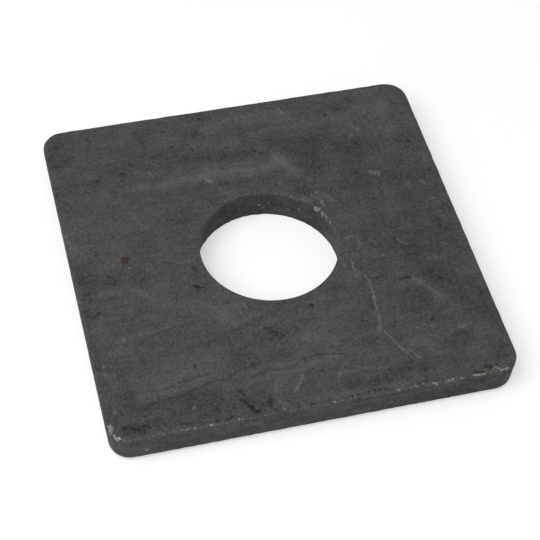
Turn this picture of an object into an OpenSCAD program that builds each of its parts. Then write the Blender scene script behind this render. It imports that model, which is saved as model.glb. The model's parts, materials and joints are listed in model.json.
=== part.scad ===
// Square plate washer for a 16 mm bolt, punched from hot-rolled steel strip.
// Outline and hole are cut in one stroke, so both cut walls are rolled over at the upper face,
// straight just below it, and torn back towards the lower face.
// Origin at the centre of the lower face, which lies on z = 0, with +Z up through the hole.

/* [Plate] */
// Width of the square across its flats, in mm
side = 50; // [40:0.5:80]
// Thickness of the plate
thickness = 4.5; // [3.8:0.1:8]
// Radius of the four corners seen from above
corner_r = 2.8; // [2:0.1:6]

/* [Bolt hole] */
// Diameter of the straight land that guides the bolt
hole_d = 17.5; // [9:0.5:26]
// Height of that land
hole_land_h = 1.8; // [1.2:0.1:2.4]
// Radius of the rolled rim at the upper face
hole_roll_r = 0.15; // [0.1:0.05:0.4]
// How far the torn wall has opened out at the lower face, per side
hole_flare = 0.35; // [0.1:0.05:0.6]

/* [Outer edge] */
// Radius of the rolled upper edge
edge_roll_r = 0.3; // [0.15:0.05:0.5]
// Height of the straight land below the rolled edge
edge_land_h = 0.6; // [0.3:0.1:1.2]
// How far the torn wall leans in below the land, per side
edge_lean = 0.2; // [0.1:0.05:0.4]
// Radius of the worn lower edge
edge_foot_r = 1; // [0.4:0.1:1.4]

/* [Hidden] */
$fn = 96;
// Overshoot of the cutting shapes past the faces they cut
slack = 1;
hole_r = hole_d / 2;
// Heights where the straight lands end and the torn walls begin
hole_break_z = thickness - hole_roll_r - hole_land_h;
edge_break_z = thickness - edge_roll_r - edge_land_h;
// The torn outer wall stands this far inside the land at its foot
foot_x = corner_r - edge_lean;
// Distance of the corner centres from the axis, and length of each straight side
corner_at = side / 2 - corner_r;
straight = 2 * corner_at;

// Section through the outer edge: corner centre at x = 0, land at x = corner_r
module edge_section() {
    difference() {
        polygon([
            [0, 0],
            [foot_x, 0],
            [foot_x, edge_foot_r],
            [corner_r, edge_break_z],
            [corner_r, thickness],
            [0, thickness]
        ]);
        // rolled upper edge
        translate([corner_r - edge_roll_r, thickness - edge_roll_r])
            difference() {
                square(edge_roll_r + slack);
                circle(edge_roll_r);
            }
        // worn lower edge
        translate([foot_x - edge_foot_r, edge_foot_r])
            difference() {
                translate([0, -edge_foot_r - slack])
                    square([edge_foot_r + slack, edge_foot_r + slack]);
                circle(edge_foot_r);
            }
    }
}

// Half section of the punched hole: axis at x = 0, land at x = hole_r
module hole_section() {
    // torn wall, opening towards the lower face
    polygon([
        [0, -slack],
        [hole_r + hole_flare, -slack],
        [hole_r + hole_flare, 0],
        [hole_r, hole_break_z],
        [hole_r, thickness],
        [0, thickness]
    ]);
    // rolled rim at the upper face
    difference() {
        translate([0, thickness - hole_roll_r])
            square([hole_r + hole_roll_r, hole_roll_r + slack]);
        translate([hole_r + hole_roll_r, thickness - hole_roll_r])
            circle(hole_roll_r);
    }
}

// One straight side and the corner that follows it, on the +X side
module edge_quarter() {
    translate([corner_at, corner_at, 0]) {
        rotate([90, 0, 0])
            linear_extrude(straight)
                edge_section();
        rotate_extrude(angle = 90)
            edge_section();
    }
}

module plate_blank() {
    translate([-corner_at, -corner_at, 0])
        cube([straight, straight, thickness]);
    for (turn = [0 : 90 : 270])
        rotate([0, 0, turn])
            edge_quarter();
}

module plate_washer() {
    color([0.29, 0.29, 0.29])
        difference() {
            plate_blank();
            rotate_extrude()
                hole_section();
        }
}

plate_washer();
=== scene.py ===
import json
import math
import bmesh
import bpy
import numpy as np
from mathutils import Matrix, Vector, noise


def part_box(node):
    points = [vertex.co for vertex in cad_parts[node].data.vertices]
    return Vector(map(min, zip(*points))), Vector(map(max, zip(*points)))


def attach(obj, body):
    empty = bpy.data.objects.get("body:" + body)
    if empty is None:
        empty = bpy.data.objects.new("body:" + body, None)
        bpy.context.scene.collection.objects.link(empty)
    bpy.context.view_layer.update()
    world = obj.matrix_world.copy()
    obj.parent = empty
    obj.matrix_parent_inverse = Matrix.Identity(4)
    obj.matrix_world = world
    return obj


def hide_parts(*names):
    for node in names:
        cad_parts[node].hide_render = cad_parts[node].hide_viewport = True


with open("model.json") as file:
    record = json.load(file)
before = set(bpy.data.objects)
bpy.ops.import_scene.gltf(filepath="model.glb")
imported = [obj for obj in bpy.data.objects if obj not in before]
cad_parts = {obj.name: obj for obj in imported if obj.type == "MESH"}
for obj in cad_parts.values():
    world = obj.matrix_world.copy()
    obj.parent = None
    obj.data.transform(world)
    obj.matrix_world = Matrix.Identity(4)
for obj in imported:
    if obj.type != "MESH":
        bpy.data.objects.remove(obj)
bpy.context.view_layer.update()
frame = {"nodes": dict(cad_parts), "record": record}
mm = 0.001  # meshes are shaped in millimetres, then brought to metres
print("frame loaded:", list(frame["nodes"]))


def hexColor(text):
    parts = [int(text[i:i + 2], 16) / 255 for i in (1, 3, 5)]
    linear = [c / 12.92 if c <= 0.04045 else ((c + 0.055) / 1.055) ** 2.4 for c in parts]
    return (*linear, 1.0)


def addNode(tree, kind, values=None):
    # a node or socket among the values is linked, anything else is set
    node = tree.nodes.new(kind)
    for name, value in (values or {}).items():
        if isinstance(value, bpy.types.Node):
            value = next(s for s in value.outputs if s.enabled)
        if isinstance(value, bpy.types.NodeSocket):
            tree.links.new(value, node.inputs[name])
        elif isinstance(name, str) and hasattr(node, name):
            setattr(node, name, value)
        else:
            node.inputs[name].default_value = value
    return node


# Plate: one blank, sheared round its outline and its hole in the same stroke, sizes in mm
plate = {
    "cornerRadius": 2.8,
    "edgeRoll": 0.3,  # rolled-over upper edge
    "edgeLand": 0.6,  # straight land under it
    "edgeLean": 0.277,  # the torn wall leans in this much by the floor
    "edgeFoot": 1.0,  # worn lower edge
    "holeRoll": 0.15,
    "holeFlare": 0.35,  # the torn wall of the hole opens this much by the floor
    "holeFoot": 0.08,
    "sideSteps": 132,  # even, along each straight side
    "cornerSteps": 12,
    "bottomRings": 14,
    "edgeTearRings": 10,
    "edgeLandRings": 4,
    "topRings": 56,
    "holeLandRings": 9,
    "holeTearRings": 13,
    "holeZone": 0.6,  # stays round this far out from the bolt hole
    "edgeZone": 1.5,  # follows the square outline this far in from the edge
    "markReach": 0.33,  # faces are cut smaller this far round a fine mark
    "markCuts": 2,
    "topSkin": 0.02,  # only faces this close to the upper face are cut
    "weld": 0.0005,
    "wallTilt": 0.5,  # a face belongs to a wall where its normal rises less than this
}
boxLow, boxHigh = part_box("plate_washer")
half = (boxHigh[0] - boxLow[0]) / 2 / mm
thick = (boxHigh[2] - boxLow[2]) / mm
boltHole = next(m for m in frame["record"]["mounts"] if m["name"] == "bolt_hole")
holeRadius = boltHole["dims"]["r_mm"]
holeBreak = thick - plate["holeRoll"] - boltHole["dims"]["length_mm"]  # the tear starts at this height
edgeBreak = thick - plate["edgeRoll"] - plate["edgeLand"]

# Marks on the upper face, in mm from the bolt axis: (half width, strength, points along the mark)
topMarks = {
    # dark pits in the scale
    "pits": [
        (0.28, 0.8, [(-15.7, 15.9)]), (0.18, 0.9, [(-15.65, 15.4)]), (0.25, 0.6, [(-16.9, 17.8)]),
        (0.24, 1.0, [(-3.75, 23.5)]), (0.2, 0.7, [(-15.4, 22.5)]), (0.18, 0.6, [(-12.8, 22.7)]),
        (0.17, 0.7, [(-9.1, 22.2)]), (0.22, 0.6, [(-18.0, 24.2)]),
        (0.4, 0.5, [(-5.3, 20.5), (-4.7, 21.2)]), (0.2, 0.6, [(-2.7, 20.2)]), (0.18, 0.6, [(-1.2, 20.3)]),
        (0.2, 0.8, [(-8.5, 19.3)]), (0.22, 0.9, [(-1.3, 17.6)]), (0.22, 0.9, [(-6.85, 16.6)]),
        (0.24, 1.0, [(-3.95, 16.3)]), (0.15, 0.7, [(-2.8, 14.1)]), (0.15, 0.6, [(-17.1, 11.7)]),
        (0.14, 0.9, [(-6.4, 10.7)]), (0.15, 0.8, [(-22.2, 4.1)]), (0.15, 0.6, [(-23.3, 11.4)]),
        (0.2, 0.9, [(12.1, 20.9)]), (0.22, 0.75, [(13.0, 20.7)]), (0.22, 0.5, [(10.7, 20.4)]),
        (0.3, 0.7, [(14.6, 21.4), (15.2, 21.4)]), (0.22, 0.45, [(16.8, 23.0), (17.2, 22.5)]),
        (0.24, 0.6, [(15.0, 22.8)]), (0.22, 0.8, [(2.1, 16.2)]), (0.18, 0.9, [(2.85, 15.8)]),
        (0.24, 0.9, [(15.8, 14.7)]), (0.3, 1.05, [(22.65, 13.7)]), (0.18, 0.8, [(22.8, 10.5)]),
        (0.18, 1.0, [(23.9, 5.5)]), (0.18, 0.8, [(23.8, 8.1)]), (0.18, 0.7, [(21.8, 3.2)]),
        (0.18, 0.6, [(22.2, 2.7)]), (0.26, 0.5, [(9.6, 11.6)]),
        (0.18, 0.6, [(-19.5, 15.2), (-18.8, 15.3)]), (0.18, 0.6, [(-18.7, 16.1)]),
        (0.22, 0.6, [(-16.2, 17.2)]), (0.2, 0.6, [(-14.5, 17.2)]),
        (0.18, 0.6, [(-23.5, -3.0), (-23.2, -2.8)]), (0.2, 0.55, [(-24.1, -3.5)]),
        (0.22, 0.6, [(-23.5, -3.9)]), (0.26, 0.7, [(-23.4, -6.5), (-22.7, -6.0)]),
        (0.14, 0.8, [(-21.5, -9.8)]), (0.16, 0.7, [(-22.9, -13.6)]), (0.18, 0.6, [(-22.0, -15.7)]),
        (0.2, 0.8, [(-13.2, -16.4), (-13.1, -16.1)]), (0.16, 0.45, [(-7.4, -15.1), (-6.5, -15.0)]),
        (0.14, 0.8, [(-8.3, -5.4)]), (0.18, 0.6, [(-10.7, -7.2)]),
        (0.18, 0.6, [(-7.5, -7.7), (-7.1, -7.9)]), (0.18, 0.9, [(-20.3, -22.0)]),
        (0.3, 1.0, [(2.75, -10.45)]), (0.15, 0.8, [(2.7, -11.0)]), (0.22, 1.0, [(11.8, -8.05)]),
        (0.26, 1.0, [(19.55, -9.7)]), (0.16, 1.0, [(15.1, -8.7), (15.9, -8.8)]),
        (0.2, 0.6, [(14.6, -8.9)]), (0.22, 0.7, [(18.7, -8.2)]),
        (0.16, 0.8, [(16.5, -15.7), (16.9, -15.5)]), (0.16, 0.7, [(15.9, -14.9)]),
        (0.16, 0.6, [(13.7, -14.0)]), (0.2, 0.8, [(23.9, -13.0)]), (0.2, 0.8, [(15.8, -2.3)]),
        (0.18, 0.7, [(15.8, -3.1)]), (0.2, 0.5, [(19.0, -18.5), (19.9, -18.3)]),
        (0.16, 0.6, [(18.7, -18.6)]), (0.14, 0.7, [(17.5, -17.8)]), (0.32, 0.7, [(13.5, -22.6)]),
        (0.2, 0.7, [(23.7, -22.9)]), (0.14, 0.6, [(21.3, -21.2)]),
        (0.2, 0.7, [(-8.7, -20.7), (-8.45, -21.4)]), (0.24, 0.8, [(-5.5, -22.8), (-5.8, -23.7)]),
        (0.24, 0.7, [(-22.9, -23.1)]), (0.27, 0.75, [(-21.3, -23.6)]), (0.22, 0.7, [(-20.6, -23.3)]),
        (0.18, 0.6, [(-20.2, -22.7)]), (0.22, 0.7, [(-8.6, -22.4)]), (0.28, 0.9, [(-7.8, -23.7)]),
        (0.2, 0.7, [(22.1, -23.9)]), (0.24, 0.75, [(23.6, -24.3)]), (0.22, 0.6, [(-24.4, -5.5)]),
        (0.22, 0.5, [(-24.4, 21.8)]), (0.18, 0.5, [(10.8, -12.7)]), (0.2, 0.5, [(-3.5, -9.7)]),
        (0.2, 0.5, [(-0.3, -9.4)]), (0.2, 0.5, [(4.8, -16.5), (6.2, -16.4)]), (0.2, 0.6, [(-5.9, 18.0)]),
    ],
    # black cracks, most of them near the front edge, and a net of hairlines in front of the hole
    "cracks": [
        (0.13, 0.5, [(-23.4, -23.0), (-22.2, -23.0), (-21.8, -23.4), (-21.2, -23.7), (-20.7, -23.5),
                     (-20.4, -23.1)]), (0.12, 0.6, [(-20.4, -23.1), (-20.1, -23.6)]),
        (0.13, 0.7, [(-8.9, -22.1), (-8.3, -22.8), (-8.1, -23.5), (-7.9, -23.9)]),
        (0.2, 0.9, [(-8.0, -23.3)]), (0.24, 0.95, [(-7.6, -24.1), (-7.3, -23.9)]),
        (0.1, 0.5, [(-9.3, -20.2), (-8.9, -21.0)]), (0.12, 0.75, [(-11.2, -24.5), (-10.2, -24.1)]),
        (0.16, 0.6, [(-12.3, -23.8), (-12.2, -24.4)]), (0.12, 0.5, [(-16.4, -23.8), (-15.4, -24.1)]),
        (0.14, 0.8, [(-2.6, -24.3), (-2.6, -24.7)]), (0.12, 0.7, [(-1.3, -24.5), (-0.5, -24.5)]),
        (0.12, 0.9, [(6.7, -24.25), (7.4, -24.25)]), (0.11, 0.8, [(7.8, -24.35), (8.4, -24.4)]),
        (0.22, 0.9, [(20.8, -24.0), (21.3, -23.9)]), (0.15, 0.7, [(19.2, -24.4), (20.3, -24.45)]),
        (0.09, 0.45, [(-12.6, -4.3), (-12.9, -5.2), (-13.1, -6.2)]),
        (0.08, 0.35, [(-13.4, -7.6), (-13.6, -8.6)]), (0.12, 0.45, [(-0.1, -12.9), (0.3, -13.8)]),
        (0.14, 0.65, [(-3.9, -12.6), (-3.3, -12.9), (-2.8, -12.5)]),
        (0.16, 0.65, [(-3.4, -12.5), (-2.9, -13.2), (-2.5, -13.7), (-2.2, -14.4)]),
        (0.13, 0.55, [(-2.5, -12.6), (-2.2, -13.2), (-2.6, -13.8)]),
        (0.14, 0.6, [(-3.4, -14.3), (-2.9, -14.0), (-2.4, -14.5)]),
        (0.13, 0.55, [(-3.5, -13.4), (-3.0, -13.9), (-3.1, -14.5)]),
        (0.12, 0.5, [(-2.3, -12.3), (-1.9, -12.8)]), (0.12, 0.45, [(-2.0, -13.6), (-1.8, -14.2)]),
        (0.12, 0.7, [(-10.2, -1.6), (-10.0, -2.0)]), (0.09, 0.6, [(10.5, -23.0), (11.0, -23.7)]),
        (0.13, 0.6, [(3.3, -24.5)]), (0.13, 0.9, [(3.9, -24.45)]), (0.11, 0.8, [(4.6, -24.4)]),
        (0.1, 0.7, [(5.6, -24.3), (6.1, -24.3)]), (0.11, 0.5, [(1.0, -24.5), (1.3, -24.3)]),
    ],
    # orange-brown rust where water sat
    "rust": [
        (0.58, 1.0, [(-18.1, 1.5)]), (0.34, 0.9, [(-10.3, -4.95)]),
        (0.5, 0.05, [(-2.9, -13.1), (-2.6, -13.9)]), (0.3, 0.5, [(-6.0, 18.2)]),
        (0.45, 0.2, [(-17.0, 16.4)]), (0.3, 0.4, [(16.6, 22.0)]), (0.3, 0.5, [(24.3, 20.6)]),
        (0.35, 0.35, [(-15.6, 20.0)]), (0.25, 0.35, [(20.8, -18.0)]), (0.4, 0.3, [(23.4, 3.5)]),
        (0.28, 0.65, [(20.7, -24.75), (21.6, -24.8)]), (0.3, 0.3, [(14.6, -9.0)]),
        (0.45, 0.3, [(-24.6, 20.8)]),
    ],
    # ochre bloom, the thin first rust
    "bloom": [
        (0.4, 0.6, [(17.4, 22.4), (18.4, 21.6), (19.6, 21.9)]), (0.28, 0.6, [(16.8, 22.8)]),
        (0.32, 0.6, [(22.2, 6.4), (22.8, 5.4)]), (0.3, 0.6, [(22.2, 3.4), (23.3, 3.0)]),
        (0.3, 0.4, [(23.6, 7.6), (23.9, 6.4)]),
        (0.3, 0.25, [(-12.6, 13.4), (-11.6, 11.4), (-10.4, 10.0)]), (0.28, 0.4, [(24.0, 20.4)]),
        (0.6, 0.4, [(-15.8, -8.4), (-14.4, -9.0)]), (0.7, 0.3, [(-2.9, -12.9), (-2.6, -13.9)]),
        (0.4, 0.4, [(19.9, -7.0)]), (0.5, 0.3, [(16.4, -13.4), (17.6, -15.6)]),
        (0.4, 0.3, [(14.0, -4.2)]), (0.5, 0.3, [(-8.5, 18.8)]), (0.4, 0.2, [(-17.0, 16.4)]),
        (0.9, 0.22, [(13.4, 14.8), (15.4, 13.9)]), (0.3, 0.4, [(18.4, -24.3), (20.0, -24.4)]),
        (0.35, 0.4, [(6.4, 8.4), (7.4, 8.0)]),
    ],
    # black heart of the second rust spot
    "blackened": [
        (0.32, 1.0, [(-10.5, -4.6), (-10.2, -4.6)]), (0.1, 0.9, [(-10.2, -4.7), (-9.6, -4.75)]),
    ],
    # the pale vein that runs to the front edge, then scratches and specks
    "scratches": [
        (0.09, 0.7, [(9.5, -4.4), (9.45, -5.3), (9.6, -6.0), (9.7, -6.9)]),
        (0.09, 0.8, [(9.45, -5.4), (9.25, -6.6), (9.45, -7.4)]),
        (0.09, 0.8, [(10.5, -7.2), (10.7, -8.5), (10.75, -9.7)]),
        (0.13, 0.8, [(10.75, -9.7), (10.6, -10.7), (10.35, -12.0), (10.3, -13.0)]),
        (0.1, 0.7, [(10.4, -13.6), (10.3, -14.6), (10.1, -15.3)]),
        (0.22, 0.6, [(10.1, -15.3), (9.8, -15.9)]),
        (0.1, 0.8, [(10.2, -16.1), (10.7, -17.0), (11.1, -18.2), (11.6, -19.0)]),
        (0.12, 0.75, [(11.6, -19.0), (12.0, -19.8), (12.3, -20.1)]),
        (0.11, 0.75, [(12.3, -19.4), (13.1, -20.4), (13.4, -20.9)]),
        (0.13, 0.5, [(9.6, -1.0), (10.4, -0.75), (11.4, -0.8)]),
        (0.12, 0.5, [(11.3, -1.2), (11.2, -2.3)]), (0.12, 0.35, [(12.5, -1.4), (13.5, -2.8)]),
        (0.2, 0.4, [(10.3, -3.9)]), (0.09, 0.4, [(15.2, -0.3), (15.7, -1.4)]),
        (0.1, 0.45, [(16.1, -2.5), (16.6, -3.0), (17.2, -3.5)]),
        (0.12, 0.4, [(4.0, -19.9), (3.4, -20.8), (2.8, -22.1)]),
        (0.16, 0.3, [(-4.1, -20.2), (-4.8, -22.1)]),
        (0.2, 0.5, [(-1.0, -20.2), (-1.7, -21.4), (-2.3, -22.4)]),
        (0.1, 0.55, [(-0.4, -18.2), (-1.0, -18.8)]), (0.1, 0.7, [(7.2, 23.3), (7.4, 22.2)]),
        (0.11, 0.6, [(16.3, 17.8), (16.7, 16.8)]), (0.14, 0.65, [(16.05, 9.6), (16.15, 9.0)]),
        (0.15, 0.65, [(16.5, 9.4), (16.55, 8.8)]), (0.2, 0.85, [(16.9, 9.2), (17.1, 8.8)]),
        (0.12, 0.55, [(20.2, 6.9), (20.5, 6.2)]), (0.16, 0.45, [(22.2, 6.4), (22.6, 5.7)]),
        (0.14, 0.7, [(22.2, 3.3), (23.0, 3.2)]), (0.1, 0.6, [(-5.6, -8.2), (-5.3, -8.7), (-5.1, -9.2)]),
        (0.09, 0.6, [(-6.0, -9.0), (-6.0, -9.7)]), (0.32, 0.7, [(-5.3, 12.8), (-4.9, 12.2)]),
        (0.24, 0.35, [(-6.1, 13.4), (-5.6, 13.3)]), (0.22, 1.0, [(-12.2, 15.15)]),
        (0.18, 0.9, [(-20.7, -10.7)]), (0.18, 0.9, [(-14.45, -22.0)]), (0.17, 1.0, [(16.2, -16.6)]),
        (0.18, 1.0, [(13.6, -4.7)]), (0.17, 0.8, [(8.35, -5.2)]), (0.15, 1.0, [(-3.75, 8.45)]),
        (0.18, 1.0, [(8.35, 7.45)]), (0.17, 0.9, [(13.9, 16.8)]), (0.17, 0.8, [(15.4, 16.3)]),
        (0.18, 0.6, [(-23.7, -15.4)]), (0.16, 0.7, [(-6.4, -12.4)]),
        (0.09, 0.6, [(21.5, -4.4), (22.3, -4.6)]), (0.16, 0.7, [(19.3, -17.5), (20.3, -17.4)]),
        (0.15, 0.7, [(8.4, 5.9), (8.45, 4.9)]), (0.12, 0.3, [(9.2, 6.6), (10.2, 5.4)]),
        (0.14, 0.5, [(-23.6, 23.1), (-23.8, 22.7)]), (0.09, 0.25, [(18.6, -2.4), (19.9, -4.2)]),
        (0.12, 0.4, [(20.3, -5.8), (20.0, -6.6)]), (0.28, 0.2, [(16.2, -8.9), (18.4, -12.0)]),
        (0.28, 0.12, [(18.4, -12.0), (20.4, -15.2)]), (0.14, 0.3, [(-15.8, 7.9), (-14.4, 5.8)]),
        (0.18, 0.8, [(-24.5, 5.6)]), (0.16, 0.4, [(-24.5, 4.9)]), (0.18, 0.7, [(-17.8, 0.1)]),
        (0.17, 0.8, [(1.2, -10.8)]), (0.17, 0.8, [(16.9, 24.1)]), (0.18, 0.75, [(-23.6, -20.8)]),
        (0.17, 0.7, [(-23.7, -14.0)]), (0.17, 0.65, [(-4.1, -12.4)]), (0.17, 0.65, [(-19.3, -18.9)]),
    ],
    # broad pale smears and rubbed streaks
    "smears": [
        (0.8, 1.25, [(4.6, 14.5), (5.4, 13.2), (6.4, 11.6)]),
        (0.8, 1.0, [(-2.0, 13.4), (1.0, 13.2), (3.4, 13.2)]), (0.4, 0.8, [(0.0, 12.4), (2.5, 12.2)]),
        (0.65, 0.75, [(-9.5, 13.3), (-5.0, 13.4), (-1.0, 13.5)]),
        (0.3, 0.5, [(-6.5, 14.3), (-3.0, 14.6), (1.5, 14.2)]),
        (0.6, 0.5, [(-16.5, 12.8), (-13.0, 13.0), (-9.5, 13.0)]),
        (0.45, 0.35, [(-19.5, 12.2), (-17.0, 14.5)]), (0.4, 0.4, [(-14.0, 15.6), (-12.5, 15.0)]),
        (0.3, 0.6, [(-4.0, 21.6), (-1.5, 22.0), (0.5, 22.4), (4.0, 22.7), (8.5, 22.3)]),
        (0.6, 0.4, [(-2.0, 21.0), (4.0, 21.6), (9.0, 21.2)]),
        (0.45, 0.5, [(2.5, 19.3), (7.0, 19.6), (12.0, 19.2)]), (0.8, 0.35, [(13.0, 20.0), (17.0, 19.6)]),
        (1.0, 0.45, [(17.4, 20.2), (19.2, 19.4)]), (1.1, 0.85, [(21.0, 20.8), (20.3, 19.9)]),
        (0.8, 0.4, [(20.2, 18.2), (21.0, 16.2)]), (0.45, 0.8, [(17.6, 21.3), (19.4, 21.7)]),
        (0.3, 0.6, [(16.0, 22.2), (17.4, 22.0)]), (0.6, 0.4, [(17.5, 19.0), (19.2, 17.0)]),
        (0.35, 0.5, [(23.9, 10.4), (23.6, 9.4)]), (0.4, 0.5, [(-24.3, 5.8), (-24.1, 4.4)]),
        (0.4, 0.7, [(6.4, 6.7), (7.0, 6.3)]), (0.5, 0.45, [(7.6, 6.9), (9.0, 6.6), (9.8, 5.6)]),
        (0.64, 0.65, [(16.3, -9.0), (17.6, -10.6), (18.8, -12.6)]),
        (0.38, 0.4, [(18.8, -12.6), (19.5, -13.8), (20.2, -15.0)]),
        (0.3, 0.15, [(20.2, -15.0), (20.9, -16.6), (21.4, -18.6), (21.5, -20.4)]),
        (0.6, 0.3, [(11.4, -2.6), (13.0, -4.4)]), (0.9, 0.5, [(13.2, -18.6), (15.0, -19.3)]),
        (0.4, 0.5, [(-22.0, -2.9), (-19.0, -3.2), (-16.8, -3.9), (-16.2, -4.6)]),
        (0.55, 0.6, [(-17.2, -7.8), (-15.6, -8.4), (-14.4, -9.2)]),
        (0.35, 0.5, [(-21.8, -10.9), (-18.5, -10.2), (-16.0, -10.0), (-13.5, -9.4)]),
        (1.2, 0.4, [(-15.5, -7.0), (-12.5, -8.2)]),
        (1.6, 0.4, [(-14.5, -5.5), (-11.0, -8.0), (-8.0, -9.6)]),
        (0.5, 0.55, [(-9.6, -9.0), (-8.2, -10.6), (-6.6, -11.2), (-4.4, -10.3), (-3.4, -10.0)]),
        (0.5, 0.4, [(-3.6, -12.0), (-2.2, -11.8)]),
        (2.0, 0.26, [(-19.0, -16.8), (-15.0, -16.2), (-11.5, -16.8)]),
        (0.3, 0.55, [(-20.4, -18.9), (-17.0, -18.4), (-14.6, -18.6), (-11.6, -18.0)]),
        (0.25, 0.5, [(-17.6, -19.4), (-14.6, -19.2), (-12.4, -18.3)]),
        (0.3, 0.5, [(-6.6, -18.6), (-4.2, -18.2), (-1.6, -18.5)]),
        (0.3, 0.55, [(-6.6, -19.9), (-4.4, -19.4), (-1.2, -19.6), (0.6, -18.6), (3.6, -18.5)]),
        (0.35, 0.4, [(3.0, -21.2), (6.0, -20.9), (9.0, -21.2), (11.0, -20.4)]),
        (0.45, 0.35, [(-10.0, -20.0), (-7.0, -19.9)]),
        (0.8, 0.35, [(0.5, -15.0), (4.5, -16.5), (7.5, -16.0)]),
        (0.3, 0.5, [(3.0, -23.9), (8.0, -24.0), (13.0, -23.9)]), (0.4, 0.5, [(-23.6, -15.4)]),
        (0.35, 0.9, [(-4.5, -23.6), (-4.3, -24.3)]), (0.28, 1.0, [(20.6, -24.45)]),
        (0.22, 0.9, [(22.9, -23.6)]), (0.4, 0.4, [(-23.9, -21.2), (-23.4, -20.4)]),
    ],
    # thin wavy laps left by the rolls
    "laps": [
        (0.12, 0.65, [(-20.0, -20.6), (-17.0, -20.2), (-15.0, -19.9), (-13.5, -19.4), (-12.0, -18.9)]),
        (0.12, 0.55, [(-12.0, -18.9), (-10.0, -18.9), (-8.0, -18.0), (-6.0, -17.5)]),
        (0.1, 0.55, [(-20.0, -18.9), (-17.0, -18.6), (-15.0, -18.2), (-12.0, -17.8)]),
        (0.11, 0.55, [(-7.0, -19.3), (-5.0, -18.6), (-3.0, -19.0), (-1.5, -18.8), (0.4, -17.9)]),
        (0.1, 0.65, [(0.4, -17.9), (2.6, -17.9), (4.8, -18.4)]),
        (0.1, 0.2, [(-20.0, -14.4), (-14.0, -13.9), (-8.0, -12.5), (-3.0, -11.0)]),
        (0.1, 0.45, [(-16.2, 0.8), (-13.4, 0.1), (-11.4, -0.8)]),
        (0.1, 0.45, [(-17.4, -10.9), (-15.2, -10.3), (-13.4, -9.7)]),
        (0.1, 0.55, [(0.6, -20.2), (3.0, -20.2), (5.2, -20.6)]),
        (0.1, 0.22, [(-8.6, -12.4), (-6.6, -11.8), (-4.6, -11.0), (-3.0, -10.2)]),
    ],
    # broad dark areas
    "stains": [
        (1.3, 0.6, [(-23.4, -20.8), (-20.0, -21.2), (-16.0, -21.2), (-12.4, -20.9)]),
        (1.1, 0.5, [(-22.5, -23.0), (-17.0, -22.9), (-11.0, -22.6), (-6.5, -22.6)]),
        (0.8, 1.3, [(-22.4, -23.5), (-20.6, -23.8)]), (0.7, 0.7, [(-8.4, -22.6), (-7.6, -23.8)]),
        (0.5, 0.7, [(-5.6, -23.2)]),
        (0.4, 0.22, [(-20.0, -14.4), (-14.0, -13.8), (-8.0, -12.5), (-3.0, -10.8)]),
        (0.6, 0.35, [(-21.8, -15.8), (-21.4, -18.6)]), (0.7, 0.3, [(-6.0, -14.2), (-4.4, -15.0)]),
        (0.4, 0.4, [(-24.5, -9.5), (-24.4, -14.6)]), (0.4, 0.5, [(-24.4, -4.6), (-24.2, -7.0)]),
        (0.6, 0.4, [(-24.2, -1.0), (-23.4, -2.2)]), (0.5, 0.4, [(-9.6, -1.0), (-10.2, -3.0)]),
        (0.4, 0.35, [(-14.0, -0.2), (-13.0, -0.5)]),
        (2.2, 0.75, [(6.2, 17.0), (8.4, 15.8), (10.0, 14.2)]),
        (2.0, 0.65, [(11.5, 16.4), (14.0, 14.4), (16.0, 13.4)]),
        (0.6, 0.7, [(12.6, 15.6), (14.6, 14.4), (15.6, 13.4)]), (0.8, 0.6, [(7.4, 13.0), (8.6, 12.0)]),
        (0.8, 0.35, [(-7.5, 16.4), (-2.0, 16.1), (1.4, 16.1)]),
        (1.1, 0.15, [(-11.4, 17.6), (-9.0, 16.8), (-7.5, 17.6)]),
        (0.4, 0.5, [(-13.4, 13.9), (-11.4, 13.7)]), (0.5, 0.5, [(-3.5, 11.3), (1.0, 11.0), (4.0, 11.4)]),
        (0.55, 0.6, [(5.0, 8.7), (6.8, 8.0)]), (0.6, 0.8, [(-23.9, 18.8), (-22.2, 19.9)]),
        (0.7, 0.7, [(-24.2, 20.4), (-22.6, 22.8)]), (0.5, 0.5, [(-21.8, 21.2), (-21.4, 22.6)]),
        (0.5, 0.4, [(-19.8, 15.2), (-18.2, 15.6)]), (1.0, 0.3, [(-21.0, 17.9), (-19.4, 17.4)]),
        (0.6, 0.4, [(-17.4, 16.4), (-15.6, 16.9), (-14.4, 17.2)]),
        (0.4, 0.5, [(-17.6, 17.6), (-16.6, 17.8)]), (0.4, 0.4, [(-24.6, 13.4), (-24.5, 15.0)]),
        (0.6, 0.35, [(-15.4, 20.0)]), (1.4, 0.7, [(18.0, 8.2), (21.4, 7.6)]),
        (1.3, 0.45, [(18.2, 12.6), (19.8, 10.8)]), (1.3, 0.7, [(21.6, 0.4), (22.0, -2.6)]),
        (0.7, 0.6, [(14.6, -0.2), (15.6, -2.2), (16.8, -4.4)]),
        (1.9, 0.75, [(17.4, -4.8), (18.8, -7.4), (19.8, -9.4)]),
        (0.9, 0.55, [(20.2, -10.6), (21.4, -12.8), (22.4, -15.0)]),
        (2.2, 0.35, [(22.5, -8.0), (23.0, -16.0)]), (6.0, 0.3, [(18.5, 6.0), (19.0, -10.0)]),
        (0.7, 0.45, [(9.6, -22.6), (12.0, -22.0), (13.6, -22.4)]),
        (0.6, 0.45, [(1.5, -23.1), (4.0, -23.2), (9.0, -23.0)]),
        (1.0, 0.7, [(23.3, -20.8), (22.6, -23.0)]), (0.5, 0.4, [(5.2, -8.8), (7.4, -8.3)]),
        (0.6, 0.35, [(1.0, -12.2), (1.8, -12.6)]), (0.7, 0.2, [(-2.8, -13.0), (-2.6, -14.1)]),
    ],
}

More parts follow.
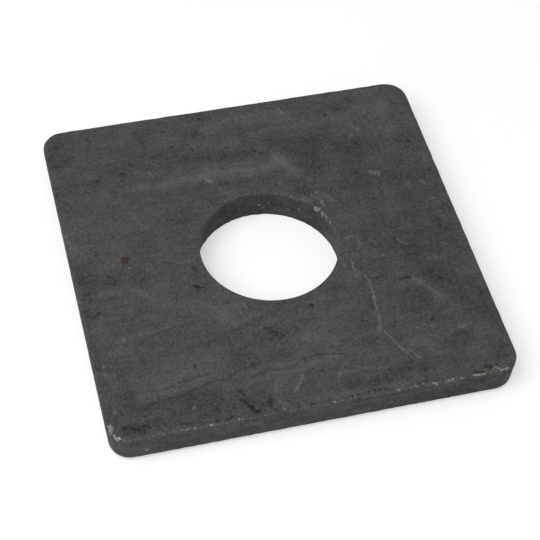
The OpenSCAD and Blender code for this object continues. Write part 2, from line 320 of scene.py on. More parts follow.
# Worn edges, in mm: how thickly specks of bare steel lie, then single chips, written like the marks above
edgeWear = {
    "upperEdge": 0.28,  # along the rolled edge
    "frontEdge": 0.5,  # more of them along the front
    "rimEdge": 0.28,  # round the rim of the hole
    "holeTear": 0.40,  # in the torn part of the hole
    "breakLine": 0.32,  # along the ridge where the land ends and the tear starts
    "edgeBand": (0.1, 0.28),  # middle and half width of the specks, in from the edge
    "rimBand": (0.05, 0.2),  # the same, out from the rim
    "edgeDepth": (0.75, 0.2),  # specks end and are full at these depths below the upper face
    "rimDepth": (0.5, 0.1),
    "patchDepth": (1.1, 0.5),
    "tearHeight": (0.0, 0.4),  # specks in the hole end and are full at these heights
    "frontPart": (-20.0, -24.0),  # the front edge counts from the first y and fully from the second
    "patchCover": 0.85,  # strength of all the single chips
    # chips along the upper edges and the rim
    "patches": [
        (0.34, 1.25, [(-24.5, -22.5), (-24.5, -23.2)]), (0.18, 1.1, [(-24.3, -23.6), (-24.15, -24.2)]),
        (0.18, 1.3, [(-23.8, -24.3), (-23.6, -24.4)]), (0.18, 1.2, [(18.8, -24.7), (19.5, -24.8)]),
        (0.16, 0.95, [(19.8, -24.8), (20.3, -24.8)]), (0.17, 0.85, [(20.4, -24.8), (21.8, -24.8)]),
        (0.14, 1.05, [(22.2, -24.75), (23.2, -24.65)]), (0.4, 0.85, [(21.6, -24.35), (22.2, -24.35)]),
        (0.22, 0.9, [(15.6, -24.8), (16.3, -24.85)]), (0.2, 1.1, [(13.9, -24.8), (14.2, -24.9)]),
        (0.22, 1.05, [(9.2, -24.6), (9.6, -24.8)]),
        (0.38, 0.66, [(10.2, -24.7), (13.0, -24.75), (17.6, -24.8)]), (0.18, 1.0, [(4.2, -24.7)]),
        (0.16, 0.8, [(3.6, -24.75)]), (0.2, 1.0, [(1.6, -24.75)]), (0.26, 1.3, [(-4.35, -24.35)]),
        (0.18, 0.8, [(-1.9, -24.7)]), (0.26, 1.3, [(-13.1, -24.7)]), (0.2, 1.0, [(-9.8, -24.75)]),
        (0.2, 0.7, [(-17.0, -24.7), (-15.8, -24.75)]), (0.22, 0.7, [(-22.4, 24.7), (-21.4, 24.75)]),
        (0.27, 1.05, [(7.35, 4.9), (7.75, 4.5)]), (0.18, 1.0, [(7.95, 3.7), (8.2, 3.4)]),
        (0.18, 1.0, [(8.3, 3.0)]), (0.16, 0.9, [(8.55, 2.1)]),
        (0.19, 0.68, [(4.4, 7.6), (5.2, 7.1), (5.6, 6.8)]), (0.18, 0.75, [(5.9, 6.7), (6.3, 6.3)]),
        (0.24, 0.8, [(6.6, 6.2), (7.1, 5.7)]), (0.18, 0.7, [(7.2, 5.2), (7.9, 4.1), (8.4, 2.8)]),
        (0.16, 0.7, [(8.75, 0.6)]), (0.14, 0.7, [(8.4, 2.6)]), (0.17, 1.2, [(-24.5, 7.9)]),
        (0.15, 1.2, [(-24.7, 6.8)]), (0.14, 1.1, [(-24.75, 4.2)]), (0.16, 1.0, [(-3.65, 8.2)]),
        (0.14, 0.7, [(2.1, 8.7)]), (0.14, 0.5, [(7.2, -5.1)]),
    ],
    # chips on the walls, with their heights
    "wallChips": [
        (0.15, 0.9, [(-1.8, 8.6, 2.25)]), (0.14, 0.9, [(-0.9, 8.75, 2.0)]),
        (0.2, 1.15, [(0.95, 8.75, 2.1)]), (0.18, 1.1, [(1.4, 8.7, 1.6)]),
        (0.18, 1.15, [(2.15, 8.5, 2.55)]), (0.24, 0.95, [(4.5, 7.5, 1.7)]),
        (0.18, 1.0, [(5.3, 7.0, 1.45)]), (0.2, 1.1, [(5.7, 6.7, 2.35)]), (0.2, 0.8, [(7.0, 5.3, 2.1)]),
        (0.15, 0.8, [(7.5, 4.5, 2.35)]), (0.16, 0.7, [(7.5, 4.5, 1.6)]), (0.2, 0.8, [(8.75, 0.8, 2.6)]),
        (0.16, 0.8, [(8.75, -0.3, 2.6)]), (0.22, 0.95, [(-20.8, -24.9, 1.8), (-20.5, -24.9, 1.9)]),
        (0.12, 0.8, [(4.6, -24.95, 2.3)]), (0.12, 0.8, [(5.4, -24.95, 2.4)]),
        (0.12, 0.8, [(5.9, -24.95, 2.5)]), (0.12, 0.8, [(1.4, -24.9, 1.6)]),
        (0.13, 0.8, [(16.2, 24.9, 2.2)]), (0.15, 0.8, [(24.9, 7.4, 2.7)]),
        (0.14, 0.8, [(-24.9, 3.1, 2.0)]), (0.16, 0.8, [(6.3, 6.1, 1.9), (6.6, 5.8, 1.8)]),
        (0.16, 0.7, [(3.2, 8.2, 2.0), (3.6, 8.0, 1.9)]), (0.16, 0.95, [(6.0, -24.95, 1.7)]),
        (0.14, 0.85, [(-7.0, -24.95, 1.7)]), (0.14, 0.85, [(-12.5, -24.95, 1.7)]),
    ],
    # pale brown streaks on the walls, most of them along the ridge at the front
    "wallStreaks": [
        (0.17, 0.9, [(2.4, -24.95, 3.35), (3.4, -24.95, 3.45), (4.4, -24.95, 3.5)]),
        (0.17, 0.6, [(4.7, -25.0, 3.55), (7.0, -25.0, 3.6)]),
        (0.17, 0.55, [(8.5, -25.0, 3.5), (12.0, -25.0, 3.5)]),
        (0.17, 0.8, [(12.0, -25.0, 3.5), (14.4, -25.0, 3.6)]),
        (0.2, 0.7, [(15.5, -25.0, 3.6), (18.3, -25.0, 3.7)]),
        (0.14, 0.5, [(-9.0, -25.0, 3.4), (-5.0, -25.0, 3.5)]),
        (0.2, 0.4, [(-12.6, -25.0, 2.6), (-11.4, -25.0, 2.4)]),
        (0.22, 0.5, [(6.3, 6.4, 1.6), (6.9, 5.7, 1.7)]), (0.2, 0.5, [(7.2, 5.3, 1.2), (7.9, 4.4, 1.4)]),
        (0.15, 0.4, [(4.0, 8.0, 1.3), (4.8, 7.5, 1.3)]),
        (0.14, 0.6, [(25.0, -8.0, 3.5), (25.0, 3.0, 3.6)]),
        (0.14, 0.6, [(-25.0, 2.0, 3.5), (-25.0, 13.0, 3.6)]),
        (0.14, 0.6, [(-14.0, 25.0, 3.5), (1.0, 25.0, 3.6)]),
    ],
}


def outlinePoint(station, inset):
    # a point on the rounded square, stations counted anticlockwise from the middle of the +X side
    sideHalf = plate["sideSteps"] // 2
    perQuarter = plate["sideSteps"] + plate["cornerSteps"]
    quarter, step = divmod(station, perQuarter)
    centre = half - plate["cornerRadius"]
    radius = plate["cornerRadius"] - inset
    if step <= sideHalf:
        x, y = half - inset, centre * step / sideHalf
    elif step < sideHalf + plate["cornerSteps"]:
        turn = math.pi / 2 * (step - sideHalf) / plate["cornerSteps"]
        x, y = centre + radius * math.cos(turn), centre + radius * math.sin(turn)
    else:
        x, y = centre * (perQuarter - step) / sideHalf, half - inset
    return Matrix.Rotation(quarter * math.pi / 2, 2) @ Vector((x, y))


def spinSection(bm):
    # the sharp section first, anticlockwise from the lower rim of the hole
    corners = [
        (holeRadius + plate["holeFlare"], 0.0),
        (half - plate["edgeLean"], 0.0),
        (half, edgeBreak),
        (half, thick),
        (holeRadius, thick),
        (holeRadius, holeBreak),
    ]
    rings = ("bottomRings", "edgeTearRings", "edgeLandRings", "topRings", "holeLandRings", "holeTearRings")
    verts = [bm.verts.new((x, 0.0, z)) for x, z in corners]
    middles = []
    for a, b in zip(verts, verts[1:] + verts[:1]):
        bm.edges.new((a, b))
        middles.append((a.co + b.co) / 2)
    rounds = [(0, "holeFoot", 2), (1, "edgeFoot", 6), (3, "edgeRoll", 5), (4, "holeRoll", 3)]
    for corner, size, segments in rounds:
        bmesh.ops.bevel(bm, geom=[verts[corner]], offset=plate[size], offset_type="OFFSET",
                        segments=segments, profile=0.5, affect="VERTICES", material=-1)
    # the straight runs that are left get their rings
    runs = [min(bm.edges, key=lambda e: ((e.verts[0].co + e.verts[1].co) / 2 - m).length) for m in middles]
    for edge, name in zip(runs, rings):
        bmesh.ops.subdivide_edges(bm, edges=[edge], cuts=plate[name] - 1)
    steps = 4 * (plate["sideSteps"] + plate["cornerSteps"])
    bmesh.ops.spin(bm, geom=bm.verts[:] + bm.edges[:], cent=(0, 0, 0), axis=(0, 0, 1), dvec=(0, 0, 0),
                   angle=math.tau, steps=steps, use_merge=True, use_duplicate=False)
    return steps


def pullSquare(bm, steps):
    # the round blank goes out to the square outline, and the hole stays round
    inner = holeRadius + plate["holeZone"]
    outer = half - plate["edgeZone"]
    for v in bm.verts:
        radius = math.hypot(v.co.x, v.co.y)
        station = round(math.atan2(v.co.y, v.co.x) % math.tau / math.tau * steps) % steps
        spoke = Vector((v.co.x, v.co.y)) / radius
        if radius <= inner:
            continue
        if radius >= outer:
            place = outlinePoint(station, half - radius)
        else:
            share = (radius - inner) / (outer - inner)
            place = (spoke * inner).lerp(outlinePoint(station, plate["edgeZone"]), share)
        v.co.x, v.co.y = place


def strokeDistance(spots, points):
    # how far each spot is from the line through the points
    best = np.full(len(spots), np.inf)
    ends = points[1:] or points
    for start, end in zip(np.array(points), np.array(ends)):
        run = end - start
        length = max(run @ run, 1e-9)  # a single point has no run
        along = np.clip((spots - start) @ run / length, 0, 1)
        best = np.minimum(best, np.linalg.norm(spots - start - along[:, None] * run, axis=1))
    return best


def coords(bm):
    return np.array([v.co for v in bm.verts]).T


def refineMarks(bm):
    # smaller faces under the fine marks, so that their shape is real
    x, y, z = coords(bm)
    flat = np.stack([x, y], axis=1)
    near = np.zeros(len(x), bool)
    for kind in ("pits", "cracks", "rust", "blackened", "scratches", "laps"):
        for width, strength, points in topMarks[kind]:
            near |= strokeDistance(flat, points) < width + plate["markReach"]
    near &= z > thick - plate["topSkin"]
    bm.verts.index_update()
    edges = [e for e in bm.edges if near[e.verts[0].index] and near[e.verts[1].index]]
    bmesh.ops.subdivide_edges(bm, edges=edges, cuts=plate["markCuts"], use_grid_fill=True)


def noiseAt(x, y, z, size, seed):
    shift = Vector((seed * 17.3, seed * 5.1, seed * 9.7))  # each seed reads another part of the noise
    return np.array([noise.noise(Vector(p) / size + shift) for p in zip(x, y, z)])


def smooth(edgeA, edgeB, value):
    # eases from 0 at the first edge to 1 at the second
    t = np.clip((value - edgeA) / (edgeB - edgeA), 0, 1)
    return t * t * (3 - 2 * t)


def band(value, middle, width):
    return np.exp(-((value - middle) / width) ** 2)


def belowTop(z, depths):
    # eases from 0 at the first depth below the upper face to 1 at the second
    return smooth(thick - depths[0], thick - depths[1], z)


def measure(x, y):
    # how far in from the square outline, and how far out from the rim of the hole
    cornerAt = half - plate["cornerRadius"]
    out = np.hypot(np.maximum(np.abs(x) - cornerAt, 0), np.maximum(np.abs(y) - cornerAt, 0))
    inset = half - np.maximum(np.maximum(np.abs(x), np.abs(y)), cornerAt + out)
    return inset, np.hypot(x, y) - holeRadius


# How the marks are laid on, lengths in mm
brush = {
    "fine": 0.45,  # noise that makes their rims ragged
    "broad": 1.6,  # slower noise under it
    "wander": (0.16, 0.7),  # small marks stray this far, over this length
    "drift": (0.35, 2.6),  # and broad ones this far
    "topDepth": 0.35,  # marks of the upper face end this far below it
    # rims as shares of the half width: solid to, gone at, ragged by fine noise, ragged by broad noise
    "spot": (0.4, 1.5, 0.5, 0.2),
    "line": (0.1, 1.8, 1.4, 0.2),
    "patch": (0.4, 1.4, 0.4, 0.0),
    "wallChip": (0.6, 2.2, 0.7, 0.0),
    "wallStreak": (0.3, 1.8, 0.9, 0.5),
    "smear": (0.0, 0.0, 0.15, 0.35),  # no rim: it fades from its middle
    "smearFade": 0.8,
}

# The torn walls, in mm
tear = {
    "waver": (0.25, 2.2),  # the line where the tear starts strays this far, over this length
    "waverUp": 0.2,  # and hardly changes up the wall
    "edgeFade": (0.25, -0.1),  # the tear fades in between these heights, from its line
    "holeFade": (0.2, -0.15),
    "ridge": (0.1, 0.12),  # middle and half width of the ridge over the line
    "wallZone": 1.2,  # the outer wall lies this far in at most
    "frontWall": (-24.0, -24.6),  # the painted shade on the front wall counts from the first y and fully from the second
    "boreDepth": (0.05, 0.4),  # and the painted shade in the hole between these depths
}


def strayed(x, y, z, name, seeds):
    far, length = brush[name]
    stray = [noiseAt(x, y, z, length, seed) for seed in seeds]
    return np.stack([x, y], axis=1) + far * np.stack(stray, axis=1)


def layStrokes(marks, spots, rim, fine, broad):
    # the stronger mark shows where two meet
    solid, gone, raggedFine, raggedBroad = brush[rim]
    ragged = raggedFine * fine + raggedBroad * broad
    layer = np.zeros(len(spots))
    for width, strength, points in marks:
        away = strokeDistance(spots, points) / width + ragged
        if rim == "smear":
            cover = np.exp(-brush["smearFade"] * np.maximum(away, 0) ** 2)
        else:
            cover = 1 - smooth(solid, gone, away)
        layer = np.maximum(layer, strength * cover)
    return layer


def paintMarks(x, y, z, inset, fromRim):
    wear = edgeWear
    fine = noiseAt(x, y, z, brush["fine"], 1)
    broad = noiseAt(x, y, z, brush["broad"], 2)
    flat = np.stack([x, y], axis=1)
    spots = np.stack([x, y, z], axis=1)
    wander = strayed(x, y, z, "wander", (7, 8))
    drift = strayed(x, y, z, "drift", (9, 10))
    paint = {}
    for kind, marks in topMarks.items():
        wide = kind in ("smears", "stains")
        rim = "smear" if wide else "line" if kind in ("cracks", "laps") else "spot"
        layer = layStrokes(marks, drift if wide else wander, rim, fine, broad)
        paint[kind] = layer * (z > thick - brush["topDepth"])
    # the land ends and the tear starts along a wavering line
    strays, length = tear["waver"]
    high = z + strays * noiseAt(x, y, z * tear["waverUp"], length, 6)
    outside = inset < tear["wallZone"]
    inHole = fromRim < plate["holeZone"]
    edgeTorn = smooth(edgeBreak + tear["edgeFade"][0], edgeBreak + tear["edgeFade"][1], high)
    holeTorn = smooth(holeBreak + tear["holeFade"][0], holeBreak + tear["holeFade"][1], high)
    torn = np.where(outside, edgeTorn, holeTorn)
    # bare steel, the thickest cover of each place
    front = smooth(*wear["frontPart"], y)
    edge = wear["upperEdge"] + (wear["frontEdge"] - wear["upperEdge"]) * front
    patches = layStrokes(wear["patches"], flat, "patch", fine, broad) * belowTop(z, wear["patchDepth"])
    chips = layStrokes(wear["wallChips"], spots, "wallChip", fine, broad)
    paint["bare"] = np.maximum.reduce([
        edge * band(inset, *wear["edgeBand"]) * belowTop(z, wear["edgeDepth"]),
        wear["rimEdge"] * band(fromRim, *wear["rimBand"]) * belowTop(z, wear["rimDepth"]),
        wear["patchCover"] * np.maximum(patches, chips),
        wear["breakLine"] * band(high - edgeBreak, *tear["ridge"]) * outside,
        wear["holeTear"] * torn * inHole * smooth(*wear["tearHeight"], z),
    ])
    paint["torn"] = torn
    paint["streaks"] = layStrokes(wear["wallStreaks"], spots, "wallStreak", fine, broad)
    # painted shade: the front wall lighter at the left and darker at the right, standing in for light from
    # the left
    paint["dull"] = x / half * smooth(*tear["frontWall"], y)
    # where the wall of the hole lies, for its painted shade and its bluer tint
    paint["bore"] = inHole * belowTop(z, tear["boreDepth"])
    return paint


# Height of the surface over the plain form, in mm
relief = {
    "swell": (0.012, 7.0),  # slow unevenness left by the rolls, and its length
    "ripple": (0.006, 1.3),
    "pits": -0.07,
    "cracks": -0.09,
    "blackened": -0.05,
    "rust": 0.025,
    "scratches": 0.02,
    "chipped": -0.06,  # where the scale is off
    "chippedFrom": (0.5, 0.9),  # cover by bare steel at which that starts and is full
    "grain": 0.7,  # length of the torn grain
    "grainUp": 0.35,  # drawn out up the wall
    "edgeGrain": 0.035,
    "holeGrain": 0.05,
    "edgeGrainZone": (0.6, 0.25),  # this far in, and from this height up
    "holeGrainZone": 0.45,  # this far out
    "nicks": 0.03,  # along the rolled edge
    "nickBand": (0.0, 0.35),
    "nickDepth": (0.8, 0.2),
}


def surfaceHeight(x, y, z, paint, inset, fromRim):
    swell, swellLength = relief["swell"]
    ripple, rippleLength = relief["ripple"]
    medium = noiseAt(x, y, z, rippleLength, 4)
    height = swell * noiseAt(x, y, z, swellLength, 3) + ripple * medium
    for kind in ("pits", "cracks", "blackened", "rust", "scratches"):
        height += relief[kind] * paint[kind]
    height += relief["chipped"] * smooth(*relief["chippedFrom"], paint["bare"])
    grain = noiseAt(x, y, z * relief["grainUp"], relief["grain"], 5)
    farIn, lowest = relief["edgeGrainZone"]
    edgeWall = (inset < farIn) & (z < edgeBreak) & (z > lowest)
    holeWall = (fromRim < relief["holeGrainZone"]) & (z < holeBreak)
    height += relief["edgeGrain"] * grain * edgeWall
    height += relief["holeGrain"] * grain * holeWall
    height += relief["nicks"] * medium * band(inset, *relief["nickBand"]) * belowTop(z, relief["nickDepth"])
    return height


def buildPlate():
    bm = bmesh.new()
    steps = spinSection(bm)
    pullSquare(bm, steps)
    refineMarks(bm)
    bmesh.ops.remove_doubles(bm, verts=bm.verts[:], dist=plate["weld"])
    bmesh.ops.recalc_face_normals(bm, faces=bm.faces[:])
    bm.normal_update()
    x, y, z = coords(bm)
    inset, fromRim = measure(x, y)
    paint = paintMarks(x, y, z, inset, fromRim)
    height = surfaceHeight(x, y, z, paint, inset, fromRim)
    for v, rise in zip(bm.verts, height):
        v.co += v.normal * float(rise)
        v.co.z = max(v.co.z, 0.0)  # nothing stands out below the lower face
    for f in bm.faces:
        f.smooth = True
        below = f.calc_center_median().z < thick - plate["edgeRoll"]
        f.material_index = 1 if below and abs(f.normal.z) < plate["wallTilt"] else 0
    bmesh.ops.scale(bm, vec=(mm, mm, mm), verts=bm.verts[:])
    mesh = bpy.data.meshes.new("plateWasher")
    bm.to_mesh(mesh)
    triangles = len(bm.calc_loop_triangles())
    bm.free()
    for name, values in paint.items():
        layer = mesh.attributes.new(name, "FLOAT", "POINT")
        layer.data.foreach_set("value", values.astype(np.float32))
    piece = bpy.data.objects.new("plateWasher", mesh)
    bpy.context.scene.collection.objects.link(piece)
    print("plate shaped:", len(mesh.vertices), "vertices,", triangles, "triangles")
    return piece


# Hot-rolled mill scale: a dull dark grey oxide skin, gritty close up and cloudy across the plate
millScale = {
    "dark": "#202020",
    "pale": "#656565",
    "tints": ("#fdf9fe", "#fbfdf6"),  # patches a little more purple or olive
    "stainTint": "#fbf7fa",
    # colours of the marks, in the order in which they lie over one another
    "marks": {
        "bloom": "#4b463b",
        "laps": "#262526",
        "scratches": "#70706f",
        "rust": "#372b22",
        "pits": "#212020",
        "cracks": "#0e0e0f",
        "blackened": "#0e0e0f",
    },
    "markBreak": (0.6, 1.2),  # the grit breaks up the marks, down to the first strength
    "grain": 0.34,  # mm, grit of the oxide
    "grainWeight": 1.25,
    "cloud": 5.0,  # mm, thicker and thinner scale
    "cloudWeight": 0.75,
    "streakLength": 9.0,  # mm, faint streaks of the rolling direction
    "streakWidth": 1.0,  # mm
    "streakWeight": 0.22,
    "smearWeight": 0.32,
    "stainWeight": 0.22,
    "pinhole": 1.8,  # mm between pinholes and pale specks
    "pinholeRim": (0.04, 0.1),  # shares of that distance
    "pinholeTone": (-0.35, 0.25),  # from dark holes to pale specks
    "hue": 1.6,  # mm, size of the tinted patches
    "hueSpan": (0.35, 0.65),
    "bumpDepth": 0.02,  # mm
    "metallic": 0.3,
    "roughness": 0.6,
    "specular": 0.25,
}

# Rubbed steel: where edges lost their scale, grey metal shows in specks
rubbed = {
    "color": "#848483",
    "rusty": "#7d7264",  # where rust has started on it
    "speck": 0.26,  # mm
    "speckWeight": 1.5,
    "showsFrom": (1.36, 1.62),  # specks and wear together start to show, and are full
    "metallic": 0.6,
    "roughness": 0.42,
}
grainSpan = (0.35, 0.65)  # most of the grain noise lies between these
roughSpread = 0.12  # dark grain is rougher, pale grain smoother, by this much


def startMaterial(name):
    mat = bpy.data.materials.new(name)
    mat.use_nodes = True
    tree = mat.node_tree
    tree.nodes.clear()
    spot = addNode(tree, "ShaderNodeTexCoord").outputs["Object"]
    where = addNode(tree, "ShaderNodeVectorMath", {"operation": "SCALE", "Scale": 1 / mm, 0: spot})
    return mat, tree, where


def readLayers(tree, names):
    return {n: addNode(tree, "ShaderNodeAttribute", {"attribute_name": n}).outputs["Fac"] for n in names}


def addTones(tree, level, tones):
    # each (source, weight) moves the level up or down
    for source, weight in tones:
        level = addNode(tree, "ShaderNodeMath", {
            "operation": "MULTIPLY_ADD", 0: source, 1: weight, 2: level})
    return level


def tintedColor(tree, look, level, hue):
    # from dark to pale by the level, then from the first tint to the second by the hue
    tone = addNode(tree, "ShaderNodeMix", {
        "data_type": "RGBA", 0: level, 6: hexColor(look["dark"]), 7: hexColor(look["pale"])})
    drift = addNode(tree, "ShaderNodeMapRange", {
        "Value": hue, "From Min": look["hueSpan"][0], "From Max": look["hueSpan"][1]})
    tint = addNode(tree, "ShaderNodeMix", {
        "data_type": "RGBA", 0: drift, 6: hexColor(look["tints"][0]), 7: hexColor(look["tints"][1])})
    return addNode(tree, "ShaderNodeMix", {
        "data_type": "RGBA", "blend_type": "MULTIPLY", 0: 1.0, 6: tone, 7: tint})


def layMarks(tree, look, color, grain, layers):
    # the marks in their order, broken up by the same grit
    broken = addNode(tree, "ShaderNodeMapRange", {
        "Value": grain, "From Min": grainSpan[0], "From Max": grainSpan[1],
        "To Min": look["markBreak"][0], "To Max": look["markBreak"][1]})
    for name, shade in look["marks"].items():
        amount = addNode(tree, "ShaderNodeMath", {
            "operation": "MULTIPLY", "use_clamp": True, 0: layers[name], 1: broken})
        color = addNode(tree, "ShaderNodeMix", {
            "data_type": "RGBA", 0: amount, 6: color, 7: hexColor(shade)})
    return color


def finishMaterial(tree, where, look, color, level, layers):
    # rubbed specks over the finish, then the shader
    speck = addNode(tree, "ShaderNodeTexNoise", {
        "Vector": where, "Scale": 1 / rubbed["speck"], "Detail": 2.0})
    cover = addTones(tree, layers["bare"], [(speck, rubbed["speckWeight"])])
    worn = addNode(tree, "ShaderNodeMapRange", {
        "Value": cover, "From Min": rubbed["showsFrom"][0], "From Max": rubbed["showsFrom"][1]})
    steel = addNode(tree, "ShaderNodeMix", {
        "data_type": "RGBA", 0: layers["rust"], 6: hexColor(rubbed["color"]), 7: hexColor(rubbed["rusty"])})
    color = addNode(tree, "ShaderNodeMix", {"data_type": "RGBA", 0: worn, 6: color, 7: steel})
    metal = addNode(tree, "ShaderNodeMapRange", {
        "Value": worn, "To Min": look["metallic"], "To Max": rubbed["metallic"]})
    base = addNode(tree, "ShaderNodeMapRange", {
        "Value": level, "To Min": look["roughness"] + roughSpread,
        "To Max": look["roughness"] - roughSpread})
    rough = addNode(tree, "ShaderNodeMapRange", {
        "Value": worn, "To Min": base, "To Max": rubbed["roughness"]})
    bump = addNode(tree, "ShaderNodeBump", {
        "Height": level, "Strength": 0.5, "Distance": look["bumpDepth"] * mm})
    shader = addNode(tree, "ShaderNodeBsdfPrincipled", {
        "Base Color": color, "Metallic": metal, "Roughness": rough, "Normal": bump,
        "Specular IOR Level": look["specular"]})
    addNode(tree, "ShaderNodeOutputMaterial", {"Surface": shader})


def makeMillScale():
    look = millScale
    mat, tree, where = startMaterial("hotRolledMillScale")
    layers = readLayers(tree, [*topMarks, "bare"])
    cloud = addNode(tree, "ShaderNodeTexNoise", {
        "Vector": where, "Scale": 1 / look["cloud"], "Detail": 4.0, "Roughness": 0.85})
    grain = addNode(tree, "ShaderNodeTexNoise", {
        "Vector": where, "Scale": 1 / look["grain"], "Detail": 2.0, "Roughness": 0.85})
    along = addNode(tree, "ShaderNodeMapping", {
        "Vector": where, "Scale": (1 / look["streakLength"], 1 / look["streakWidth"], 1.0)})
    streak = addNode(tree, "ShaderNodeTexNoise", {
        "Vector": along, "Scale": 1.0, "Detail": 3.0, "Distortion": 0.6})
    # pinholes and pale specks, one to a cell
    cells = addNode(tree, "ShaderNodeTexVoronoi", {"Vector": where, "Scale": 1 / look["pinhole"]})
    hole = addNode(tree, "ShaderNodeMapRange", {
        "Value": cells.outputs["Distance"], "From Min": look["pinholeRim"][0],
        "From Max": look["pinholeRim"][1], "To Min": 1.0, "To Max": 0.0})
    shade = addNode(tree, "ShaderNodeMapRange", {
        "Value": cells.outputs["Color"], "From Min": 0.25, "From Max": 0.75,
        "To Min": look["pinholeTone"][0], "To Max": look["pinholeTone"][1]})
    dots = addNode(tree, "ShaderNodeMath", {"operation": "MULTIPLY", 0: hole, 1: shade})
    middle = 0.5 - (look["cloudWeight"] + look["grainWeight"] + look["streakWeight"]) / 2
    level = addTones(tree, middle, [
        (cloud, look["cloudWeight"]), (grain, look["grainWeight"]), (streak, look["streakWeight"]),
        (dots, 1.0), (layers["smears"], look["smearWeight"]), (layers["stains"], -look["stainWeight"])])
    hue = addNode(tree, "ShaderNodeTexNoise", {"Vector": where, "Scale": 1 / look["hue"], "Detail": 3.0})
    color = tintedColor(tree, look, level, hue)
    color = addNode(tree, "ShaderNodeMix", {
        "data_type": "RGBA", "blend_type": "MULTIPLY",
        0: layers["stains"], 6: color, 7: hexColor(look["stainTint"])})
    color = layMarks(tree, look, color, grain, layers)
    finishMaterial(tree, where, look, color, level, layers)
    return mat


# Sheared wall: duller than the faces, mottled blue grey and brown, a little lighter on the burnished land,
# with painted shade down the hole and along the front wall
shearedWall = {
    "dark": "#222222",
    "pale": "#686868",
    "tints": ("#f8f9ff", "#fffafa"),  # bluer and browner patches
    "marks": {"streaks": "#686360"},
    "markBreak": (0.35, 1.0),
    "grain": 0.4,  # mm
    "grainWeight": 0.9,
    "cloud": 2.6,  # mm
    "cloudWeight": 1.3,
    "flatten": 1.4,  # the patches lie along the wall
    "landLift": 0.03,  # the land is burnished a little lighter
    "boreShade": 0.085,  # painted shade: the hole is darker, as shade falls into it
    "frontShade": 0.08,  # painted shade: the front wall darkens from left to right, standing in for light from the left
    "hue": 5.0,  # mm, size of the tinted patches
    "hueSpan": (0.35, 0.75),
    "boreBlue": 0.1,  # the hole is bluer
    "tornBrown": 0.15,  # and the tear browner
    "bumpDepth": 0.03,  # mm
    "metallic": 0.1,
    "roughness": 0.74,
    "specular": 0.15,
}


def makeShearedWall():
    look = shearedWall
    mat, tree, where = startMaterial("shearedSteelWall")
    layers = readLayers(tree, ["bare", "rust", "torn", "bore", "dull", "streaks"])
    along = addNode(tree, "ShaderNodeMapping", {"Vector": where, "Scale": (1.0, 1.0, look["flatten"])})
    cloud = addNode(tree, "ShaderNodeTexNoise", {
        "Vector": along, "Scale": 1 / look["cloud"], "Detail": 5.0, "Roughness": 0.8})
    grain = addNode(tree, "ShaderNodeTexNoise", {
        "Vector": along, "Scale": 1 / look["grain"], "Detail": 2.0, "Roughness": 0.85})
    middle = 0.5 - (look["cloudWeight"] + look["grainWeight"]) / 2 + look["landLift"]
    # the level, with the painted shade of the hole and of the front wall taken off
    level = addTones(tree, middle, [
        (cloud, look["cloudWeight"]), (grain, look["grainWeight"]),
        (layers["torn"], -look["landLift"]), (layers["bore"], -look["boreShade"]),
        (layers["dull"], -look["frontShade"])])
    hue = addNode(tree, "ShaderNodeTexNoise", {"Vector": where, "Scale": 1 / look["hue"], "Detail": 4.0})
    hue = addTones(tree, hue, [(layers["bore"], -look["boreBlue"]), (layers["torn"], look["tornBrown"])])
    color = tintedColor(tree, look, level, hue)
    color = layMarks(tree, look, color, grain, layers)
    finishMaterial(tree, where, look, color, level, layers)
    return mat


washer = buildPlate()
washer.data.materials.append(makeMillScale())
washer.data.materials.append(makeShearedWall())
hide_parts("plate_washer")
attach(washer, "root")
print("plate finished")

# Stage: pale floor and soft studio light
stage = {
    "floorSize": 1.6,  # m
    "floorDrop": 0.00002,  # m, keeps the floor just clear of the lower face
    "floorColor": "#dcdcdc",
    "floorGlow": 0.46,  # lifts the pale floor to white for the camera, and keeps the shadow
    "skyStrength": 0.42,
    "softboxSize": 0.34,  # m
    "softboxPower": 1.23,  # W
    "softboxAt": (-0.19, -0.12, 0.36),
}


def cameraWhite(tree):
    # 1 for what the camera sees, also in a reflection, and 0 for the light that falls on things
    path = addNode(tree, "ShaderNodeLightPath")
    seen = addNode(tree, "ShaderNodeMath", {
        "operation": "MAXIMUM", 0: path.outputs["Is Camera Ray"], 1: path.outputs["Is Glossy Ray"]})
    return addNode(tree, "ShaderNodeMath", {
        "operation": "MAXIMUM", 0: seen, 1: path.outputs["Is Transmission Ray"]})


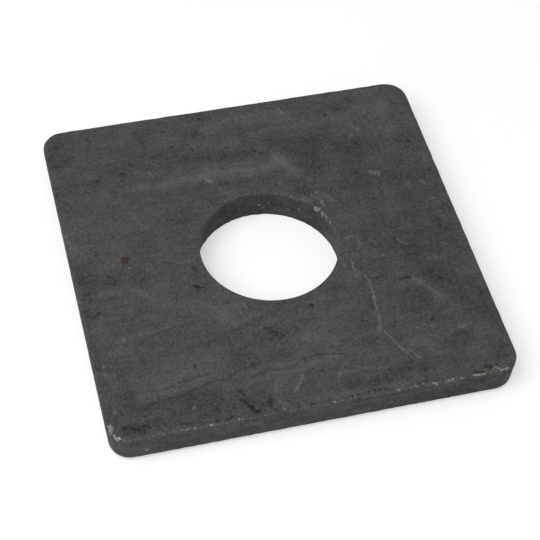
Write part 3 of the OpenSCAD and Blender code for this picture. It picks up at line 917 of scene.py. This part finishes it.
def buildStage():
    bm = bmesh.new()
    bmesh.ops.create_grid(bm, x_segments=1, y_segments=1, size=stage["floorSize"] / 2)
    mesh = bpy.data.meshes.new("studioFloor")
    bm.to_mesh(mesh)
    bm.free()
    floor = bpy.data.objects.new("studioFloor", mesh)
    floor.location.z = -stage["floorDrop"]
    bpy.context.scene.collection.objects.link(floor)
    mat = bpy.data.materials.new("paleFloor")
    mat.use_nodes = True
    tree = mat.node_tree
    tree.nodes.clear()
    matt = addNode(tree, "ShaderNodeBsdfDiffuse", {"Color": hexColor(stage["floorColor"])})
    glow = addNode(tree, "ShaderNodeMath", {
        "operation": "MULTIPLY", 0: cameraWhite(tree), 1: stage["floorGlow"]})
    lift = addNode(tree, "ShaderNodeEmission", {"Strength": glow})
    both = addNode(tree, "ShaderNodeAddShader", {0: matt, 1: lift})
    addNode(tree, "ShaderNodeOutputMaterial", {"Surface": both})
    mesh.materials.append(mat)

    world = bpy.data.worlds.new("studioSky")
    world.use_nodes = True
    tree = world.node_tree
    tree.nodes.clear()
    strength = addNode(tree, "ShaderNodeMapRange", {
        "Value": cameraWhite(tree), "To Min": stage["skyStrength"], "To Max": 1.0})
    sky = addNode(tree, "ShaderNodeBackground", {"Strength": strength})
    addNode(tree, "ShaderNodeOutputWorld", {"Surface": sky})
    bpy.context.scene.world = world

    lamp = bpy.data.lights.new("softbox", "AREA")
    lamp.shape = "SQUARE"
    lamp.size = stage["softboxSize"]
    lamp.energy = stage["softboxPower"]
    softbox = bpy.data.objects.new("softbox", lamp)
    softbox.location = stage["softboxAt"]
    softbox.rotation_euler = (-Vector(stage["softboxAt"])).to_track_quat("-Z", "Y").to_euler()
    bpy.context.scene.collection.objects.link(softbox)
    print("stage lit")


# Camera at the photograph's angle, aimed at a point of the upper face, in mm and degrees
shot = {
    "aim": (-0.888, -3.946),
    "distance": 199.04,
    "azimuth": 16.865,
    "elevation": 50.708,
    "roll": 3.474,
    "lens": 106.73,
    "sensor": 36.0,
    "nearest": 10.0,  # nothing closer is drawn
}


def buildCamera():
    azimuth, elevation, roll = (math.radians(shot[k]) for k in ("azimuth", "elevation", "roll"))
    ahead = math.cos(elevation)
    forward = Vector((math.sin(azimuth) * ahead, math.cos(azimuth) * ahead, -math.sin(elevation)))
    level = forward.cross(Vector((0, 0, 1))).normalized()
    upright = level.cross(forward)
    right = level * math.cos(roll) + upright * math.sin(roll)
    up = right.cross(forward)
    data = bpy.data.cameras.new("photoCamera")
    data.sensor_width = shot["sensor"]
    data.lens = shot["lens"]
    data.clip_start = shot["nearest"] * mm
    camera = bpy.data.objects.new("photoCamera", data)
    aim = Vector((*shot["aim"], thick)) * mm
    turn = Matrix((right, up, -forward)).transposed().to_4x4()
    camera.matrix_world = Matrix.Translation(aim - forward * shot["distance"] * mm) @ turn
    bpy.context.scene.collection.objects.link(camera)
    bpy.context.scene.camera = camera
    print("camera placed")


buildStage()
buildCamera()
bpy.context.scene.view_settings.view_transform = "Standard"
